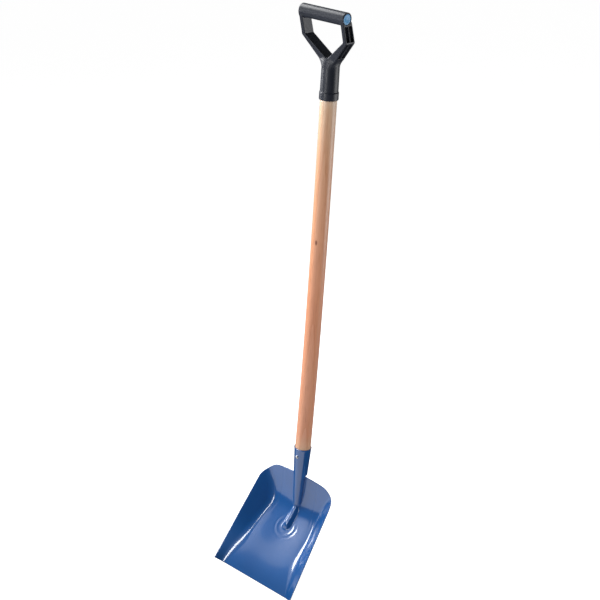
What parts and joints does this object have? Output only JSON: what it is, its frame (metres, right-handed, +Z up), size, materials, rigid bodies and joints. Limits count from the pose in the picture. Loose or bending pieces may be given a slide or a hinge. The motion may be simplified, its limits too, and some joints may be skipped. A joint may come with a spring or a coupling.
{
  "type": "scoop shovel",
  "caption": "Square-mouthed steel scoop shovel with raised sides, a tapered socket, a long wooden shaft and a D-shaped plastic hand grip.",
  "frame": {"origin": "under the middle of the crossbar, where a hook bears when the shovel hangs by its grip", "axes": "+Z up along the upper shaft, -Y towards the scooping (front) side, +X to the right along the crossbar, seen from the back"},
  "size_m": [0.2412, 0.1957, 1.3119],
  "materials": {
    "blue_enamel": "gloss",
    "varnished_wood": "satin",
    "black_plastic": "satin",
    "light_blue_plastic": "satin",
    "zinc_plate": "satin"
  },
  "bodies": {
    "root": {"blade": "blue_enamel", "socket": "blue_enamel", "weld_bead_left": "blue_enamel", "weld_bead_right": "blue_enamel", "shaft": "varnished_wood", "grip": "black_plastic", "end_plug_left": "light_blue_plastic", "end_plug_right": "light_blue_plastic", "socket_screw": "zinc_plate", "grip_screw": "zinc_plate"}
  },
  "joints": []
}
